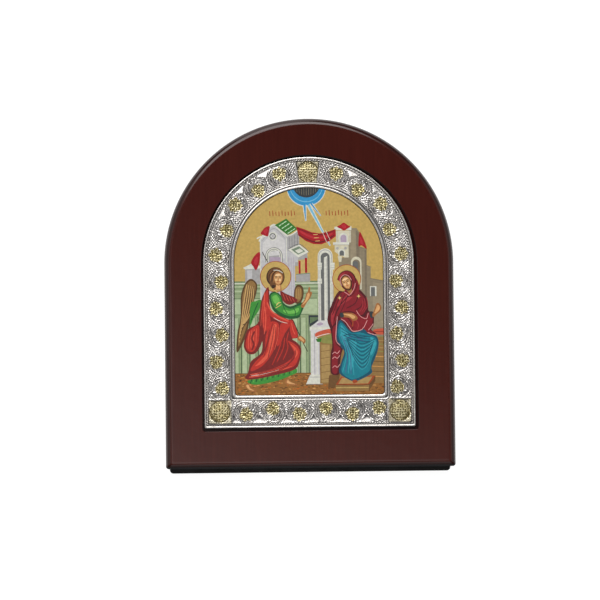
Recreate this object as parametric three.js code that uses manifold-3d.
// A small icon panel that lies on its back: an arched wooden frame on a black back board,
// with a pressed metal border let into the wood and a flat picture panel in the border's window.
// Millimetres. The face looks up (+Z), the top of the arch points to +Y, and the origin is on the
// underside, in the middle of the whole outline.
import * as THREE from "three";
import { mergeVertices } from "three/addons/utils/BufferGeometryUtils.js";
import Module from "manifold-3d";

// Outline of the wooden frame. All arches share one centre.
const frameWidth = 155;
const frameStraight = 109.5;
const footDrop = 3;
const frameCornerRadius = 1.5;
const frameArchRadius = frameWidth / 2;
const totalHeight = frameArchRadius + frameStraight + footDrop;
const archCentreY = totalHeight / 2 - frameArchRadius;

// Thicknesses, from the underside up
const backThickness = 5;
const seamGap = 0.3;
const frameThickness = 15;
const frameBaseZ = backThickness + seamGap;
const frameFaceZ = frameBaseZ + frameThickness;

// Front edge of the frame and its pocket
const roundoverRadius = 3.75;
const roundoverSteps = 4;
const pocketDepth = 3;
const pocketClearance = 1.35;
const pocketArris = 0.35;
const pocketCornerRadius = 1.6;

// Back board
const backInset = 1.7;
const backBevel = 0.5;
const backCornerRadius = 2;

// Pressed border. The plate sits a little to the left and high in its pocket.
const plateShift = new THREE.Vector2(-0.3, 0.4);
const plateHalfWidth = 56.4;
const plateDrop = 88.2;
const plateCornerRadius = 0.6;
const windowHalfWidth = 40;
const windowDrop = 71;
const windowCornerRadius = 1.8;
const plateBaseZ = frameFaceZ - pocketDepth + seamGap;
const bandFloorHeight = 1.5;
const bandFloorZ = plateBaseZ + bandFloorHeight;

// Flowers and scrolls along the border, counted from the medallion at the top of the arch
const firstFlower = 15;
const flowerPitch = 14.2;
const flowersPerSide = 10;
const bottomFlowers = 6;
const bottomFlowerShift = 1.4;
const flowerOffset = 1.5;
const flowerRadius = 3.1;
const flowerPetals = 5;
const flowerHeight = 0.75;
const scrollRadius = 5.2;
const stemHalfWidth = 0.65;
const stemHeight = 0.5;
const stemEndPart = 0.5;
const stemStepsPerFlower = 7;
const curlSteps = 6;
const curlRadius = 5;
const curlStretch = 1.1;
const curlOpening = 0.08;
const leafStart = 1;
const leafLength = 4.4;
const leafHalfWidth = 1.5;
const leafHeight = 0.55;
const medallionSide = 12.4;
const barMargin = 0.6;
const medallionRadius = 4.6;
const medallionPetals = 8;
const medallionHeight = 0.8;
const sunkDepth = 0.25;

// Picture panel
const pictureThickness = 1.4;
const archSteps = 40;
const cornerSteps = 3;

const wasm = await Module();
wasm.setup();

const wood = { color: 0x4a2421, roughness: 0.35, metalness: 0 };
const blackBoard = { color: 0x1c1a1b, roughness: 0.4, metalness: 0 };
const silver = { color: 0xc9c6c4, roughness: 0.3, metalness: 1 };
const print = { color: 0xc7a75c, roughness: 0.35, metalness: 0 };

// An arched outline, counter-clockwise from the right springing: the arch, then both bottom corners.
// Outlines made by this function always have the same number of points, so they can be lofted.
function archOutline(halfWidth, drop, cornerRadius, shift = new THREE.Vector2()) {
  const points = [];
  for (let step = 0; step <= archSteps; step += 1) {
    const angle = (Math.PI * step) / archSteps;
    points.push(new THREE.Vector2(halfWidth * Math.cos(angle), halfWidth * Math.sin(angle)));
  }
  for (const side of [-1, 1]) {
    const centreX = side * (halfWidth - cornerRadius);
    const centreY = cornerRadius - drop;
    const startAngle = side < 0 ? Math.PI : 1.5 * Math.PI;
    for (let step = 0; step <= cornerSteps; step += 1) {
      const angle = startAngle + (0.5 * Math.PI * step) / cornerSteps;
      const x = centreX + cornerRadius * Math.cos(angle);
      const y = centreY + cornerRadius * Math.sin(angle);
      points.push(new THREE.Vector2(x, y));
    }
  }
  return points.map((point) => point.add(shift).add(new THREE.Vector2(0, archCentreY)));
}

// Quads between each ring of points and the next one
function addSkin(triangles, rings, closed) {
  const size = rings[0].length;
  const bands = closed ? rings.length : rings.length - 1;
  for (let band = 0; band < bands; band += 1) {
    const low = band * size;
    const high = ((band + 1) % rings.length) * size;
    for (let index = 0; index < size; index += 1) {
      const next = (index + 1) % size;
      triangles.push(low + index, low + next, high + next);
      triangles.push(low + index, high + next, high + index);
    }
  }
}

function toGeometry(rings, triangles) {
  const positions = rings.flatMap(({ outline, z }) => outline.flatMap((point) => [point.x, point.y, z]));
  const geometry = new THREE.BufferGeometry();
  geometry.setAttribute("position", new THREE.Float32BufferAttribute(positions, 3));
  geometry.setIndex(triangles);
  return geometry;
}

// A closed solid through a stack of outlines, with a flat cap on the first and on the last one
function loft(rings) {
  const triangles = [];
  addSkin(triangles, rings.map((ring) => ring.outline), false);
  const size = rings[0].outline.length;
  const lastStart = (rings.length - 1) * size;
  for (const [a, b, c] of THREE.ShapeUtils.triangulateShape(rings[0].outline, [])) {
    triangles.push(c, b, a);
  }
  for (const [a, b, c] of THREE.ShapeUtils.triangulateShape(rings.at(-1).outline, [])) {
    triangles.push(lastStart + a, lastStart + b, lastStart + c);
  }
  return toGeometry(rings, triangles);
}

// The arched board: side, quarter-round front edge, face, softened arris, pocket wall and pocket floor
function frameGeometry() {
  const rings = [];
  rings.push({ outline: archOutline(frameArchRadius, frameStraight, frameCornerRadius), z: frameBaseZ });
  for (let step = 0; step <= roundoverSteps; step += 1) {
    const angle = (0.5 * Math.PI * step) / roundoverSteps;
    const inset = roundoverRadius * (1 - Math.cos(angle));
    const z = frameFaceZ - roundoverRadius * (1 - Math.sin(angle));
    const corner = frameCornerRadius * (1 - inset / (2 * roundoverRadius));
    rings.push({ outline: archOutline(frameArchRadius - inset, frameStraight - inset, corner), z });
  }
  const pocketWidth = plateHalfWidth + pocketClearance;
  const pocketDrop = plateDrop + pocketClearance;
  const mouthWidth = pocketWidth + pocketArris;
  const mouthDrop = pocketDrop + pocketArris;
  rings.push({ outline: archOutline(mouthWidth, mouthDrop, pocketCornerRadius), z: frameFaceZ });
  const wall = archOutline(pocketWidth, pocketDrop, pocketCornerRadius);
  rings.push({ outline: wall, z: frameFaceZ - pocketArris });
  rings.push({ outline: wall, z: frameFaceZ - pocketDepth });
  return loft(rings);
}

// The back board, with a small bevel on both edges. Its straight side is longer by the foot.
function backBoardGeometry() {
  const halfWidth = frameArchRadius - backInset;
  const drop = frameStraight + footDrop;
  const full = archOutline(halfWidth, drop, backCornerRadius);
  const bevelled = archOutline(halfWidth - backBevel, drop - backBevel, backCornerRadius);
  return loft([
    { outline: bevelled, z: 0 },
    { outline: full, z: backBevel },
    { outline: full, z: backThickness - backBevel },
    { outline: bevelled, z: backThickness },
  ]);
}

// The border's section, from the outer edge to the window: part of the band's width, height above its base.
// Rolled lip, groove, rope bead, floor of the scroll band, thin ridge, groove and rolled inner lip.
const borderSection = [
  [0, 0],
  [0, 1.6],
  [0.03, 2.1],
  [0.06, 1.6],
  [0.075, 1.5],
  [0.1, 1.85],
  [0.13, bandFloorHeight],
  [0.86, bandFloorHeight],
  [0.88, bandFloorHeight + 0.3],
  [0.9, bandFloorHeight],
  [0.925, 1.5],
  [0.96, 2],
  [0.99, 1.7],
  [1, 1.2],
  [1, 0],
];

function borderRingGeometry() {
  const outer = archOutline(plateHalfWidth, plateDrop, plateCornerRadius, plateShift);
  const inner = archOutline(windowHalfWidth, windowDrop, windowCornerRadius, plateShift);
  const rings = borderSection.map(([part, height]) => ({
    outline: outer.map((point, index) => point.clone().lerp(inner[index], part)),
    z: plateBaseZ + height,
  }));
  const triangles = [];
  addSkin(triangles, rings.map((ring) => ring.outline), true);
  return toGeometry(rings, triangles);
}

// A place on the middle line of the band: distance runs clockwise from the top of the arch along one side
const midRadius = (plateHalfWidth + windowHalfWidth) / 2;
const midDrop = (plateDrop + windowDrop) / 2;
const quarterLength = (Math.PI / 2) * midRadius;

function sidePlace(distance, side) {
  const centre = new THREE.Vector2(0, archCentreY).add(plateShift);
  const angle = Math.min(distance / midRadius, Math.PI / 2);
  const below = Math.max(distance - quarterLength, 0);
  const outward = new THREE.Vector2(side * Math.sin(angle), Math.cos(angle));
  const middle = outward.clone().multiplyScalar(midRadius).add(centre);
  middle.y -= below;
  return { middle, outward };
}

function bottomPlace(x) {
  const middle = new THREE.Vector2(x, archCentreY - midDrop).add(plateShift);
  return { middle, outward: new THREE.Vector2(0, -1) };
}

// A point of the band's face from a place, a step along the band and a step outward across it
function bandPoint(place, alongStep, outwardStep, z) {
  const { middle, outward } = place;
  const along = new THREE.Vector2(outward.y, -outward.x);
  const point = middle.clone().addScaledVector(along, alongStep).addScaledVector(outward, outwardStep);
  return new THREE.Vector3(point.x, point.y, z);
}

// A flower: a lobed foot below the floor, a lobed shoulder, a dip and a knob in the middle
function flowerGeometry(place, offset, radius, petals, height) {
  const steps = petals * 2;
  const levels = [
    { size: 1, lobe: 0.78, z: -sunkDepth },
    { size: 0.8, lobe: 0.7, z: height },
    { size: 0.34, lobe: 1, z: height * 0.45 },
  ];
  const positions = [];
  for (const { size, lobe, z } of levels) {
    for (let step = 0; step < steps; step += 1) {
      const angle = (2 * Math.PI * step) / steps;
      const reach = radius * size * (step % 2 === 0 ? 1 : lobe);
      const outwardStep = offset + reach * Math.sin(angle);
      const point = bandPoint(place, reach * Math.cos(angle), outwardStep, bandFloorZ + z);
      positions.push(point.x, point.y, point.z);
    }
  }
  const knob = bandPoint(place, 0, offset, bandFloorZ + height);
  const foot = bandPoint(place, 0, offset, bandFloorZ - sunkDepth);
  positions.push(knob.x, knob.y, knob.z, foot.x, foot.y, foot.z);
  const triangles = [];
  const knobIndex = levels.length * steps;
  const footIndex = knobIndex + 1;
  for (let step = 0; step < steps; step += 1) {
    const next = (step + 1) % steps;
    for (let level = 0; level < levels.length - 1; level += 1) {
      const low = level * steps;
      const high = low + steps;
      triangles.push(low + step, low + next, high + next);
      triangles.push(low + step, high + next, high + step);
    }
    const top = (levels.length - 1) * steps;
    triangles.push(top + step, top + next, knobIndex);
    triangles.push(next, step, footIndex);
  }
  const geometry = new THREE.BufferGeometry();
  geometry.setAttribute("position", new THREE.Float32BufferAttribute(positions, 3));
  geometry.setIndex(triangles);
  return geometry;
}

// A stem-like ridge with a pointed top along a route on the band's floor. Its ends can be thinner.
function ridgeGeometry(route, endPart) {
  const positions = [];
  const last = route.length - 1;
  route.forEach((point, index) => {
    const before = route[Math.max(index - 1, 0)];
    const after = route[Math.min(index + 1, last)];
    const across = after.clone().sub(before).normalize();
    across.set(-across.y, across.x, 0);
    const taper = index === 0 || index === last ? endPart : 1;
    const left = point.clone().addScaledVector(across, stemHalfWidth * taper);
    const right = point.clone().addScaledVector(across, -stemHalfWidth * taper);
    positions.push(right.x, right.y, bandFloorZ - sunkDepth);
    positions.push(left.x, left.y, bandFloorZ - sunkDepth);
    positions.push(point.x, point.y, bandFloorZ + stemHeight * taper);
  });
  const triangles = [0, 2, 1];
  for (let index = 0; index < last; index += 1) {
    for (let corner = 0; corner < 3; corner += 1) {
      const here = index * 3 + corner;
      const beside = index * 3 + ((corner + 1) % 3);
      triangles.push(here, beside, beside + 3);
      triangles.push(here, beside + 3, here + 3);
    }
  }
  triangles.push(last * 3, last * 3 + 1, last * 3 + 2);
  const geometry = new THREE.BufferGeometry();
  geometry.setAttribute("position", new THREE.Float32BufferAttribute(positions, 3));
  geometry.setIndex(triangles);
  return geometry;
}

// The stem waves past each flower on the side away from the flower, and a curl closes the ring round it
function stemRoute(placeAt, offset) {
  const route = [];
  for (let step = 0; step <= stemStepsPerFlower; step += 1) {
    const part = step / stemStepsPerFlower - 0.5;
    const swing = -Math.sign(offset) * scrollRadius * Math.cos(Math.PI * part);
    route.push(bandPoint(placeAt(part * flowerPitch), 0, swing, bandFloorZ));
  }
  return route;
}

function curlRoute(placeAt, offset) {
  const route = [];
  for (let step = 0; step <= curlSteps; step += 1) {
    const angle = Math.PI * (curlOpening + ((1 - 2 * curlOpening) * step) / curlSteps);
    const alongStep = curlRadius * curlStretch * Math.cos(angle);
    const outwardStep = Math.sign(offset) * curlRadius * Math.sin(angle);
    route.push(bandPoint(placeAt(0), alongStep, outwardStep, bandFloorZ));
  }
  return route;
}

// A leaf in the corner between two scrolls: a kite with a sharp back, from the crossing to the band's edge
function leafGeometry(place, side) {
  const footZ = bandFloorZ - sunkDepth;
  const middle = side * (leafStart + leafLength / 2);
  const tail = bandPoint(place, 0, side * leafStart, footZ);
  const tip = bandPoint(place, 0, side * (leafStart + leafLength), footZ);
  const left = bandPoint(place, -leafHalfWidth * side, middle, footZ);
  const right = bandPoint(place, leafHalfWidth * side, middle, footZ);
  const crest = bandPoint(place, 0, middle, bandFloorZ + leafHeight);
  const positions = [tail, right, tip, left, crest].flatMap((point) => [point.x, point.y, point.z]);
  const geometry = new THREE.BufferGeometry();
  geometry.setAttribute("position", new THREE.Float32BufferAttribute(positions, 3));
  geometry.setIndex([0, 1, 4, 1, 2, 4, 2, 3, 4, 3, 0, 4, 0, 2, 1, 0, 3, 2]);
  return geometry;
}

// The thin bar that parts a medallion's square from the scrolls beside it
function barGeometry(place, alongStep) {
  const reach = medallionSide / 2 - barMargin;
  const route = [-reach, reach].map((outwardStep) => bandPoint(place, alongStep, outwardStep, bandFloorZ));
  return ridgeGeometry(route, 1);
}

function toSolid(geometry) {
  const bare = geometry.clone();
  bare.deleteAttribute("normal");
  bare.deleteAttribute("uv");
  const merged = mergeVertices(bare);
  const vertProperties = new Float32Array(merged.attributes.position.array);
  const triVerts = new Uint32Array(merged.index.array);
  return new wasm.Manifold(new wasm.Mesh({ numProp: 3, vertProperties, triVerts }));
}

function fromSolid(solid) {
  const { vertProperties, triVerts } = solid.getMesh();
  const geometry = new THREE.BufferGeometry();
  geometry.setAttribute("position", new THREE.BufferAttribute(vertProperties, 3));
  geometry.setIndex(new THREE.BufferAttribute(triVerts, 1));
  return geometry;
}

// All flowers with the places they sit at. Neighbours lean alternately outward and inward.
function flowerPlaces() {
  const places = [];
  for (const side of [-1, 1]) {
    for (let index = 0; index < flowersPerSide; index += 1) {
      const distance = firstFlower + index * flowerPitch;
      const offset = index % 2 === 0 ? flowerOffset : -flowerOffset;
      const leafAfter = index < flowersPerSide - 1;
      places.push({ placeAt: (step) => sidePlace(distance + step, side), offset, leafAfter });
    }
  }
  const firstX = bottomFlowerShift - ((bottomFlowers - 1) / 2) * flowerPitch;
  for (let index = 0; index < bottomFlowers; index += 1) {
    const x = firstX + index * flowerPitch;
    const offset = index % 2 === 0 ? flowerOffset : -flowerOffset;
    places.push({ placeAt: (step) => bottomPlace(x + step), offset, leafAfter: index < bottomFlowers - 1 });
  }
  return places;
}

// Each medallion has a bar on every side that meets the scrolls
function medallionBars() {
  const half = medallionSide / 2;
  const bars = [-half, half].map((step) => [sidePlace(0, 1), step]);
  for (const side of [-1, 1]) {
    bars.push([bottomPlace(side * (midRadius - half)), 0]);
    bars.push([sidePlace(quarterLength + midDrop - half, side), 0]);
  }
  return bars;
}

function silverBorderGeometry() {
  let solid = toSolid(borderRingGeometry());
  for (const { placeAt, offset, leafAfter } of flowerPlaces()) {
    const flower = flowerGeometry(placeAt(0), offset, flowerRadius, flowerPetals, flowerHeight);
    solid = solid.add(toSolid(ridgeGeometry(stemRoute(placeAt, offset), stemEndPart)));
    solid = solid.add(toSolid(ridgeGeometry(curlRoute(placeAt, offset), stemEndPart)));
    solid = solid.add(toSolid(flower));
    for (const side of leafAfter ? [-1, 1] : []) {
      solid = solid.add(toSolid(leafGeometry(placeAt(flowerPitch / 2), side)));
    }
  }
  for (const place of [sidePlace(0, 1), bottomPlace(-midRadius), bottomPlace(midRadius)]) {
    const boss = flowerGeometry(place, 0, medallionRadius, medallionPetals, medallionHeight);
    solid = solid.add(toSolid(boss));
  }
  for (const [place, alongStep] of medallionBars()) {
    solid = solid.add(toSolid(barGeometry(place, alongStep)));
  }
  return fromSolid(solid);
}

// The picture panel fills the window with a hairline of play all round
function picturePanelGeometry() {
  const halfWidth = windowHalfWidth - seamGap;
  const outline = archOutline(halfWidth, windowDrop - seamGap, windowCornerRadius, plateShift);
  return loft([
    { outline, z: plateBaseZ },
    { outline, z: plateBaseZ + pictureThickness },
  ]);
}

function makePiece(name, geometry, look) {
  const mesh = new THREE.Mesh(geometry, new THREE.MeshStandardMaterial(look));
  mesh.name = name;
  return mesh;
}

const group = new THREE.Group();
group.add(makePiece("back_board", backBoardGeometry(), blackBoard));
group.add(makePiece("frame", frameGeometry(), wood));
group.add(makePiece("silver_border", silverBorderGeometry(), silver));
group.add(makePiece("picture_panel", picturePanelGeometry(), print));

export default group;
